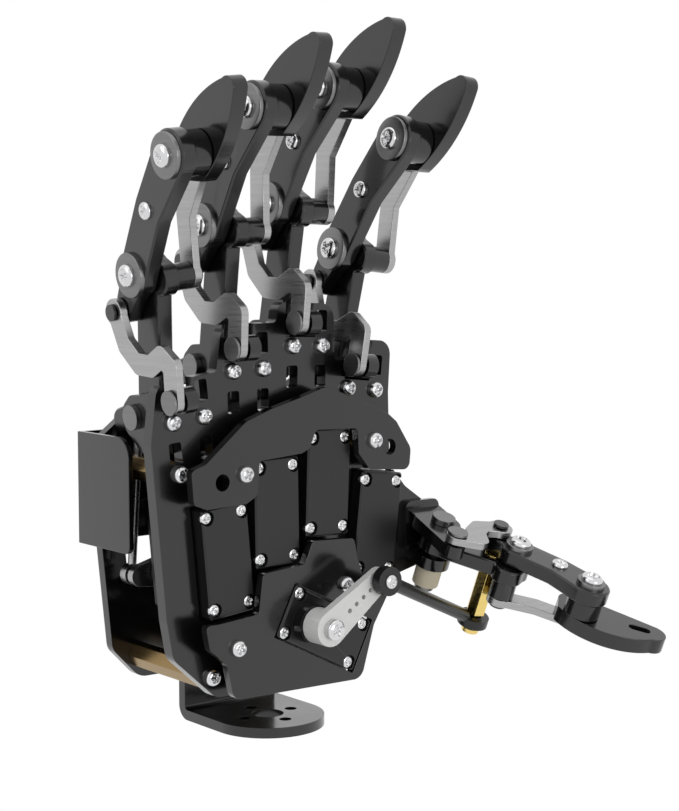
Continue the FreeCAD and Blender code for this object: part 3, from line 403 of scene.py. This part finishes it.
class Parts:
    """Collects placed surfaces into one mesh."""

    def __init__(self):
        self.points = []
        self.faces = []
        self.count = 0

    def add(self, points, faces, centre, out, spin=0.0):
        rows = basis(out)
        c, s = math.cos(spin), math.sin(spin)
        turned = np.stack((c * points[:, 0] - s * points[:, 1], s * points[:, 0] + c * points[:, 1],
                           points[:, 2]), axis=-1)
        self.points.append(turned @ rows + np.array(centre))
        self.faces.append(faces + self.count)
        self.count += len(points)

    def build(self, name, slot, body, finish=None, replaces=()):
        points = np.concatenate(self.points)
        faces = np.concatenate(self.faces)
        mesh = bpy.data.meshes.new(name)
        mesh.from_pydata(points.tolist(), [], faces.tolist())
        mesh.update()
        work = bmesh.new()
        work.from_mesh(mesh)
        bmesh.ops.remove_doubles(work, verts=work.verts, dist=0.012 * MM)
        bmesh.ops.holes_fill(work, edges=work.edges, sides=80)
        bmesh.ops.recalc_face_normals(work, faces=work.faces)
        work.to_mesh(mesh)
        work.free()
        mesh.shade_smooth()
        mesh.set_sharp_from_angle(angle=math.radians(40))
        piece = bpy.data.objects.new(name, mesh)
        bpy.context.scene.collection.objects.link(piece)
        piece.data.materials.append(material_for(finish or slot))
        if replaces:
            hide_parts(*replaces)
        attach(piece, body)
        return piece


def add_head(parts, centre, out, radius, height, spin):
    """Domed head with a cross recess; centre is on the top of the CAD head."""
    points, faces = lathe(dome_profile(radius, height), 40, (0.15 * radius, 0.55 * radius, 0.5 * height))
    seat = np.array(centre) - np.array(out) * height
    parts.add(points, faces, seat, out, spin)


# Operators

class HAND_OT_plates(Operator):
    """Palm plates, hood, brackets and wrist sheet with rounded edges"""
    bl_idname = "hand.plates"
    bl_label = "Plates and brackets"

    def execute(self, context):
        width = context.scene.hand_finish.edge
        for node in ("palm_plate", "knuckle_cover_plate", "lower_cover_plate", "back_plate", "back_hood",
                     "wrist_bracket", "knuckle_brackets", "thumb_bracket"):
            dress(node, width)
        return {"FINISHED"}


class HAND_OT_servos(Operator):
    """Servo cases, horns and push rods"""
    bl_idname = "hand.servos"
    bl_label = "Servos and rods"

    def execute(self, context):
        width = context.scene.hand_finish.edge
        for name in FINGERS:
            dress("servo_" + name, width)
            dress(name + "_horn", width)
            dress(name + "_push_rod", width * 0.7)
        for node in ("thumb_servo", "thumb_arm", "thumb_ball_joint", "thumb_rod"):
            dress(node, width)
        return {"FINISHED"}


class HAND_OT_digits(Operator):
    """Finger and thumb bars, claws and links"""
    bl_idname = "hand.digits"
    bl_label = "Digits"

    def execute(self, context):
        width = context.scene.hand_finish.edge
        for name in DIGITS:
            for part in ("_proximal", "_middle", "_claw", "_s_link", "_coupler"):
                dress(name + part, width)
        return {"FINISHED"}


class HAND_OT_spacers(Operator):
    """Brass posts, pins and the nylon spacer"""
    bl_idname = "hand.spacers"
    bl_label = "Posts and spacers"

    def execute(self, context):
        width = context.scene.hand_finish.edge
        # The standoffs take the darker brass, which paints the shade between the plates
        dress("standoffs", width * 0.8, "post_brass")
        dress("bracket_pins", width * 0.8, "washer_steel")
        for node in ("thumb_post", "thumb_spacer"):
            dress(node, width * 0.8)
        return {"FINISHED"}


class HAND_OT_plate_screws(Operator):
    """Domed cross-recess screws of the plates and servo cases"""
    bl_idname = "hand.plate_screws"
    bl_label = "Plate screws"

    def execute(self, context):
        spin = 0.35
        for node, share in (("plate_screws", 0.82), ("servo_case_screws", 1.18)):
            parts = Parts()
            for points in islands(node):
                centre, out, radius, depth = head_of(points, (0.0, 1.0, 0.0))
                add_head(parts, centre, out, radius * share, min(depth, 1.4 * MM), spin)
                spin += 1.1
            parts.build(node + "_heads", "chrome_steel", BODY_OF[node], replaces=(node,))
        return {"FINISHED"}


class HAND_OT_joint_screws(Operator):
    """Washers and button screws on the digits' pivots"""
    bl_idname = "hand.joint_screws"
    bl_label = "Joint screws"

    def execute(self, context):
        button_r, button_h, disc_h, disc_bore = 2.05 * MM, 1.1 * MM, 0.8 * MM, 1.0 * MM
        centre_head_h, washer_reach = 0.9 * MM, 2.4 * MM
        spin = 0.2
        for name in DIGITS:
            node = name + "_joint_screws"
            axis = AXIS_OF[name + "_knuckle"]
            left = -np.array(axis)
            heads, washers, shafts = Parts(), Parts(), Parts()
            for points in islands(node):
                rows = basis(left)
                local = points @ rows.T
                top = local[:, 2].max()
                low = local[:, 2].min()
                middle = (local[:, :2].min(axis=0) + local[:, :2].max(axis=0)) / 2
                reach = np.linalg.norm(local[:, :2] - middle, axis=1).max()
                tip = np.array((middle[0], middle[1], top)) @ rows
                if reach > washer_reach:
                    add_head(heads, tip, left, button_r, button_h, spin)
                    seat = tip - left * (button_h + disc_h)
                    ring, faces = lathe(disc_profile(reach, disc_h, disc_bore), 48)
                    washers.add(ring, faces, seat, left)
                    length = top - low - button_h - 0.1 * MM
                    bar, faces = lathe([(0.01 * MM, -length), (1.27 * MM, -length), (1.42 * MM, -length + 0.15 * MM),
                                        (1.42 * MM, -0.1 * MM), (0.01 * MM, -0.1 * MM)], 32)
                    shafts.add(bar, faces, tip - left * button_h, left)
                else:
                    add_head(heads, tip, left, reach, centre_head_h, spin)
                spin += 0.9
            body = BODY_OF[node]
            heads.build(name + "_button_heads", "chrome_steel", body, replaces=(node,))
            washers.build(name + "_washers", "chrome_steel", body, "washer_steel")
            shafts.build(name + "_pivot_shafts", "chrome_steel", body)
        return {"FINISHED"}


class HAND_OT_arm_screws(Operator):
    """Screws on the thumb servo arm's hub and in its ball joint"""
    bl_idname = "hand.arm_screws"
    bl_label = "Arm screws"

    def execute(self, context):
        out = np.array((0.0, -1.0, 0.0))
        parts = Parts()
        for node, joint, radius, height in (("thumb_arm", "thumb_arm_joint", 1.9 * MM, 1.0 * MM),
                                            ("thumb_ball_joint", "thumb_rod_joint", 1.3 * MM, 0.7 * MM)):
            at = np.array(PLACE_OF[joint])
            points = np.concatenate(islands(node))
            near = np.hypot(points[:, 0] - at[0], points[:, 2] - at[2]) < 3.2 * MM
            face = points[near, 1].min()
            add_head(parts, (at[0], face - height, at[2]), out, radius, height, 0.4)
        parts.build("thumb_arm_screws", "chrome_steel", BODY_OF["thumb_arm"])
        return {"FINISHED"}


class HAND_OT_stage(Operator):
    """Floor, lamps, room light and camera"""
    bl_idname = "hand.stage"
    bl_label = "Studio"

    def execute(self, context):
        target = Vector((6.8, -13.7, 62.5)) * MM
        azimuth, elevation = math.radians(39.19), math.radians(5.21)
        forward = Vector((math.sin(azimuth) * math.cos(elevation), math.cos(azimuth) * math.cos(elevation),
                          -math.sin(elevation)))
        right = Vector((math.cos(azimuth), -math.sin(azimuth), 0.0))
        self.add_floor(context)
        self.add_room(context)
        self.add_camera(context, target, forward)
        self.add_lamps(context, target, right, forward)
        context.scene.view_settings.view_transform = "Standard"
        return {"FINISHED"}

    def add_floor(self, context):
        floor_mesh = bpy.data.meshes.new("floor")
        half = 3.0
        floor_mesh.from_pydata([(-half, -half, 0.0), (half, -half, 0.0), (half, half, 0.0), (-half, half, 0.0)],
                               [], [(0, 1, 2, 3)])
        floor = bpy.data.objects.new("floor", floor_mesh)
        context.scene.collection.objects.link(floor)
        floor.location.z = -0.05 * MM
        paint = bpy.data.materials.new("pale_floor")
        paint.use_nodes = True
        nodes, links = paint.node_tree.nodes, paint.node_tree.links
        nodes.clear()
        out = nodes.new("ShaderNodeOutputMaterial")
        matte = nodes.new("ShaderNodeBsdfDiffuse")
        matte.inputs["Color"].default_value = (0.8, 0.8, 0.8, 1.0)
        glow = nodes.new("ShaderNodeEmission")
        glow.inputs["Color"].default_value = (1.0, 1.0, 1.0, 1.0)
        blend = nodes.new("ShaderNodeMixShader")
        links.new(seen_ray(nodes, links), blend.inputs["Fac"])
        links.new(matte.outputs["BSDF"], blend.inputs[1])
        links.new(glow.outputs["Emission"], blend.inputs[2])
        links.new(blend.outputs["Shader"], out.inputs["Surface"])
        floor_mesh.materials.append(paint)

    def add_room(self, context):
        world = bpy.data.worlds.new("studio")
        context.scene.world = world
        world.use_nodes = True
        nodes, links = world.node_tree.nodes, world.node_tree.links
        nodes.clear()
        out = nodes.new("ShaderNodeOutputWorld")
        dim = nodes.new("ShaderNodeBackground")
        dim.inputs["Color"].default_value = (1.0, 1.0, 1.0, 1.0)
        dim.inputs["Strength"].default_value = context.scene.hand_studio.sky
        white = nodes.new("ShaderNodeBackground")
        white.inputs["Color"].default_value = (1.0, 1.0, 1.0, 1.0)
        white.inputs["Strength"].default_value = 1.0
        blend = nodes.new("ShaderNodeMixShader")
        links.new(seen_ray(nodes, links), blend.inputs["Fac"])
        links.new(dim.outputs["Background"], blend.inputs[1])
        links.new(white.outputs["Background"], blend.inputs[2])
        links.new(blend.outputs["Shader"], out.inputs["Surface"])

    def add_camera(self, context, target, forward):
        focal_pixels, tall_pixels, sensor = 1800.6, 811.0, 36.0
        lens = bpy.data.cameras.new("camera")
        camera = bpy.data.objects.new("camera", lens)
        context.scene.collection.objects.link(camera)
        camera.location = target - forward * context.scene.hand_studio.distance
        camera.rotation_euler = forward.to_track_quat("-Z", "Y").to_euler()
        lens.sensor_width = sensor
        lens.lens = sensor * focal_pixels / tall_pixels
        lens.clip_start = 0.01
        context.scene.camera = camera

    def add_lamps(self, context, target, right, forward):
        studio = context.scene.hand_studio
        up = right.cross(forward)
        for name, place, size, power in (
                ("key", right * 0.45 - forward * 0.55 - up * 0.05, 0.35, studio.key),
                ("fill", -right * 0.55 - forward * 0.35 + up * 0.35, 0.6, studio.fill),
                ("top", up * 0.8 - forward * 0.1, 0.7, studio.fill)):
            lamp = bpy.data.lights.new(name, "AREA")
            lamp.energy = power
            lamp.size = size
            lit = bpy.data.objects.new(name, lamp)
            context.scene.collection.objects.link(lit)
            lit.location = target + place
            lit.rotation_euler = (-place).to_track_quat("-Z", "Y").to_euler()


def seen_ray(nodes, links):
    """1 for camera, glossy and transmission rays, which see the plain white background."""
    path = nodes.new("ShaderNodeLightPath")
    first = nodes.new("ShaderNodeMath")
    first.operation = "MAXIMUM"
    second = nodes.new("ShaderNodeMath")
    second.operation = "MAXIMUM"
    links.new(path.outputs["Is Camera Ray"], first.inputs[0])
    links.new(path.outputs["Is Glossy Ray"], first.inputs[1])
    links.new(first.outputs[0], second.inputs[0])
    links.new(path.outputs["Is Transmission Ray"], second.inputs[1])
    return second.outputs[0]


STEPS = (HAND_OT_plates, HAND_OT_servos, HAND_OT_digits, HAND_OT_spacers, HAND_OT_plate_screws,
         HAND_OT_joint_screws, HAND_OT_arm_screws, HAND_OT_stage)


class HAND_PT_panel(Panel):
    """Lists the hand's settings and build steps"""
    bl_label = "Linkage hand"
    bl_idname = "HAND_PT_panel"
    bl_space_type = "VIEW_3D"
    bl_region_type = "UI"
    bl_category = "Hand"

    def draw(self, context):
        for settings in (context.scene.hand_finish, context.scene.hand_studio):
            for name in settings.__annotations__:
                self.layout.prop(settings, name)
        for step in STEPS:
            self.layout.operator(step.bl_idname)


CLASSES = (HandFinish, HandStudio, *STEPS, HAND_PT_panel)


def register():
    for item in CLASSES:
        bpy.utils.register_class(item)
    bpy.types.Scene.hand_finish = PointerProperty(type=HandFinish)
    bpy.types.Scene.hand_studio = PointerProperty(type=HandStudio)


def unregister():
    del bpy.types.Scene.hand_studio
    del bpy.types.Scene.hand_finish
    for item in reversed(CLASSES):
        bpy.utils.unregister_class(item)


def main():
    register()
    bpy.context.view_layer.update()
    bpy.ops.hand.plates()
    bpy.ops.hand.servos()
    bpy.ops.hand.digits()
    bpy.ops.hand.spacers()
    bpy.ops.hand.plate_screws()
    bpy.ops.hand.joint_screws()
    bpy.ops.hand.arm_screws()
    bpy.ops.hand.stage()


if __name__ == "__main__":
    main()
